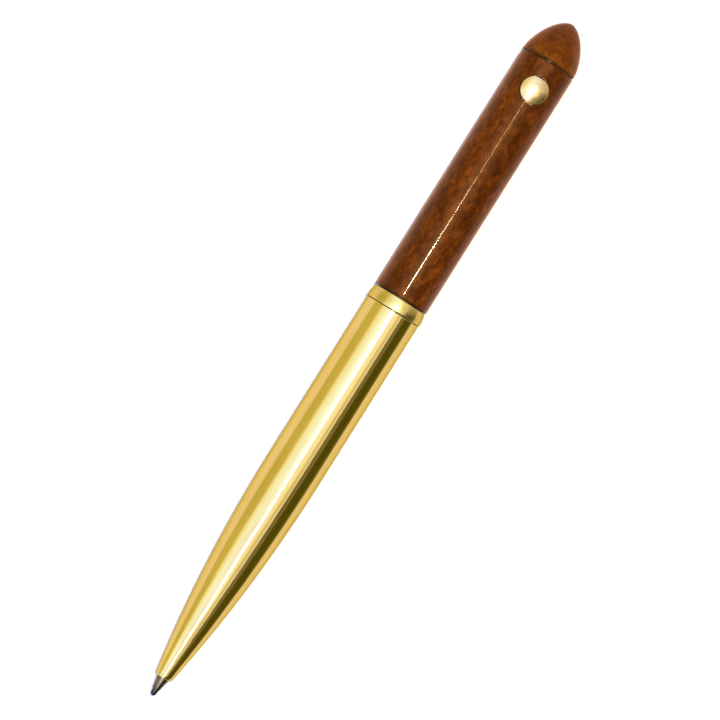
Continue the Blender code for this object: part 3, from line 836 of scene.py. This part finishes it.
SHOWN = [
    (make_front_barrel(), "barrel", "front_barrel", brass),
    (make_collar(), "barrel", "collar_ring", brass_collar),
    (make_wood_barrel(), "barrel", "wood_barrel", wood_barrel_look),
    # The end bush shows down the gap at the cap; its near-black brass is painted shade
    (make_bush(), "barrel", "end_bush", brass_painted_shade),
    (make_catch_spring(), "barrel", "catch_spring", spring_steel),
    (make_cap(), "plunger", "bullet_cap", wood_cap_look),
    (make_stem(), "plunger", "plunger_stem", brass_turned),
    (make_button(), "button", "release_button", brass_button),
    (make_tip(), "refill", "tip_socket", steel),
    (make_ball(), "ball", "tip_ball", tungsten),
]
for piece, body, node, look in SHOWN:
    paint(piece, look)
    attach(piece, body)
    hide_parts(node)

coil = make_return_spring()
paint(coil, spring_steel)
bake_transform(coil)
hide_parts("return_spring")

# The coupler, liner and cap insert show down the gaps; their near-black brass is painted shade
CARRIED = {
    "threaded_coupler": brass_painted_shade,
    "liner_tube": brass_painted_shade,
    "guide_sleeve": dark_plastic,
    "spreader_wedge": steel,
    "cap_insert": brass_painted_shade,
    "buffer_washer": rubber,
    "thrust_cup": acetal,
    "refill_neck": dark_plastic,
    "refill_tube": clear_plastic,
    "ink_column": ink,
    "refill_end_plug": dark_plastic,
}
for node, look in CARRIED.items():
    paint(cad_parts[node], look)

# ---------------------------------------------------------------- floor

# In metres
FLOOR_Z = -0.0002
FLOOR_HALF = 1.5
FLOOR_GREY = (0.41, 0.41, 0.375)
floor_look, _, floor_shader = tree_of("floor_white")
floor_shader.inputs["Base Color"].default_value = (*FLOOR_GREY, 1.0)
floor_shader.inputs["Roughness"].default_value = 0.8
floor_mesh = bpy.data.meshes.new("floor")
floor_corners = [(-1.0, -1.0), (1.0, -1.0), (1.0, 1.0), (-1.0, 1.0)]
floor_points = [(x * FLOOR_HALF, y * FLOOR_HALF, FLOOR_Z) for x, y in floor_corners]
floor_mesh.from_pydata(floor_points, [], [(0, 1, 2, 3)])
floor_mesh.materials.append(floor_look)
floor = bpy.data.objects.new("floor", floor_mesh)
bpy.context.scene.collection.objects.link(floor)

# ---------------------------------------------------------------- studio light

# Brightness round the pen, from the horizon on the +Y side over the top to the horizon on the
# -Y side: angle in degrees, then red and green together, then blue. Red stops at MOST_RED.
ROOM = [
    (-90.0, 1.00, 0.53),
    (-84.0, 0.88, 0.37),
    (-66.0, 0.87, 0.34),
    (-59.0, 0.95, 0.43),
    (-54.0, 0.99, 0.56),
    (-50.5, 1.20, 0.93),
    (-46.5, 1.56, 1.55),
    (-42.0, 1.72, 2.08),
    (-36.0, 1.78, 2.71),
    (-28.0, 2.01, 3.48),
    (-19.0, 1.92, 3.50),
    (-14.0, 1.69, 3.53),
    (7.0, 1.53, 2.52),
    (13.0, 1.66, 2.21),
    (17.0, 1.70, 2.13),
    (21.0, 1.42, 1.52),
    (25.0, 0.97, 0.87),
    (28.5, 0.92, 0.83),
    (32.0, 1.38, 1.66),
    (35.0, 1.44, 1.79),
    (40.0, 0.93, 0.92),
    (90.0, 0.72, 0.61),
]
# The same with a black card standing on the -Y side
CARD = [stop for stop in ROOM if stop[0] < 34.0] + [
    (35.5, 1.58, 2.07),
    (38.5, 0.23, 0.07),
    (42.5, 0.15, 0.03),
    (46.5, 0.41, 0.33),
    (49.0, 0.38, 0.29),
    (52.5, 0.13, 0.02),
    (60.0, 0.12, 0.01),
    (78.0, 0.12, 0.01),
    (90.0, 0.23, 0.02),
]
ROOM_SCALE = 4.0
MOST_RED = 1.45
CARD_SKEW = 0.5
# The card gives way to the open room as a direction leans this far towards +X
CARD_FADE = (0.12, 0.42)


def angle_stops(table):
    """Ramp stops of a table, with colours brought below 1 by ROOM_SCALE."""
    stops = []
    for angle, warm, blue in table:
        red = min(warm, MOST_RED)
        colour = (red / ROOM_SCALE, warm / ROOM_SCALE, blue / ROOM_SCALE)
        stops.append(((angle + 90.0) / 180.0, colour))
    return stops


def math_node(tree, operation, first, second):
    node = tree.nodes.new("ShaderNodeMath")
    node.operation = operation
    for socket, value in zip(node.inputs, (first, second)):
        if isinstance(value, float):
            socket.default_value = value
        else:
            tree.links.new(value, socket)
    return node.outputs[0]


world = bpy.data.worlds.new("studio_world")
world.use_nodes = True
room_tree = world.node_tree
direction = room_tree.nodes.new("ShaderNodeTexCoord")
parts = room_tree.nodes.new("ShaderNodeSeparateXYZ")
room_tree.links.new(direction.outputs["Generated"], parts.inputs[0])
along_pen, across, upward = parts.outputs[0], parts.outputs[1], parts.outputs[2]


def side_angle(skew):
    """0 at the +Y horizon, 0.5 overhead, 1 at the -Y horizon."""
    skewed = math_node(room_tree, "MULTIPLY", along_pen, skew)
    shifted = math_node(room_tree, "ADD", across, skewed)
    turned_over = math_node(room_tree, "MULTIPLY", shifted, -1.0)
    angle = math_node(room_tree, "ARCTAN2", turned_over, upward)
    return spread(room_tree, angle, 0.0, 1.0, -math.pi / 2.0, math.pi / 2.0)


open_side = ramp(room_tree, side_angle(0.0), angle_stops(ROOM))
card_side = ramp(room_tree, side_angle(CARD_SKEW), angle_stops(CARD))
past_card = spread(room_tree, along_pen, 0.0, 1.0, *CARD_FADE)
room_light = mix(room_tree, "MIX", past_card, card_side, open_side)
background = room_tree.nodes["Background"]
room_tree.links.new(room_light, background.inputs["Color"])
background.inputs["Strength"].default_value = ROOM_SCALE
bpy.context.scene.world = world
bpy.context.scene.view_settings.view_transform = "Standard"

# Height above the pen's axis in metres, and lean from straight above it
LAMP_HEIGHT = 0.60
LAMP_ANGLE = math.radians(-4.2)


def strip(name, width, from_x, to_x, radiance, colour):
    """Area light parallel to the pen, almost straight above it. Sizes are in metres."""
    data = bpy.data.lights.new(name, "AREA")
    data.shape = "RECTANGLE"
    data.size = to_x - from_x
    data.size_y = width
    data.energy = radiance * math.pi * (to_x - from_x) * width
    data.color = colour
    lamp = bpy.data.objects.new(name, data)
    away = Vector((0.0, -math.sin(LAMP_ANGLE), math.cos(LAMP_ANGLE)))
    place = AXIS + away * LAMP_HEIGHT + Vector(((from_x + to_x) / 2.0, 0.0, 0.0))
    pen_axis = Vector((1.0, 0.0, 0.0))
    turned_to_pen = Matrix((pen_axis, away.cross(pen_axis), away)).transposed()
    lamp.matrix_world = Matrix.Translation(place) @ turned_to_pen.to_4x4()
    bpy.context.scene.collection.objects.link(lamp)


# Name, width, start and end along the pen, radiance, colour
strip("strip_over_brass", 0.055, -0.90, 0.030, 16.0, (1.0, 1.0, 1.4))
strip("strip_over_joint", 0.014, 0.030, 0.060, 3200.0, (1.0, 0.94, 0.84))
strip("strip_over_wood", 0.014, 0.060, 0.085, 1200.0, (1.0, 0.66, 0.42))
strip("strip_tail", 0.014, 0.085, 0.130, 400.0, (1.0, 0.6, 0.35))

# ---------------------------------------------------------------- camera

PEN_LEAN = math.radians(57.92)
TILT = math.radians(5.7)
DISTANCE = 0.4405
AIM_ALONG = -0.20
AIM_ACROSS = -0.32
SENSOR_WIDTH = 36.0
LENS = 124.5
towards = Vector((0.0, math.sin(TILT), math.cos(TILT)))
across_pen = Vector((0.0, -math.cos(TILT), math.sin(TILT)))
pen_dir = Vector((1.0, 0.0, 0.0))
right = pen_dir * math.cos(PEN_LEAN) + across_pen * math.sin(PEN_LEAN)
up = pen_dir * math.sin(PEN_LEAN) - across_pen * math.cos(PEN_LEAN)
target = AXIS + (pen_dir * AIM_ALONG + across_pen * AIM_ACROSS) * MM
camera_data = bpy.data.cameras.new("camera")
camera_data.sensor_width = SENSOR_WIDTH
camera_data.lens = LENS
camera = bpy.data.objects.new("camera", camera_data)
facing = Matrix((right, up, towards)).transposed().to_4x4()
camera.matrix_world = Matrix.Translation(target + towards * DISTANCE) @ facing
bpy.context.scene.collection.objects.link(camera)
bpy.context.scene.camera = camera
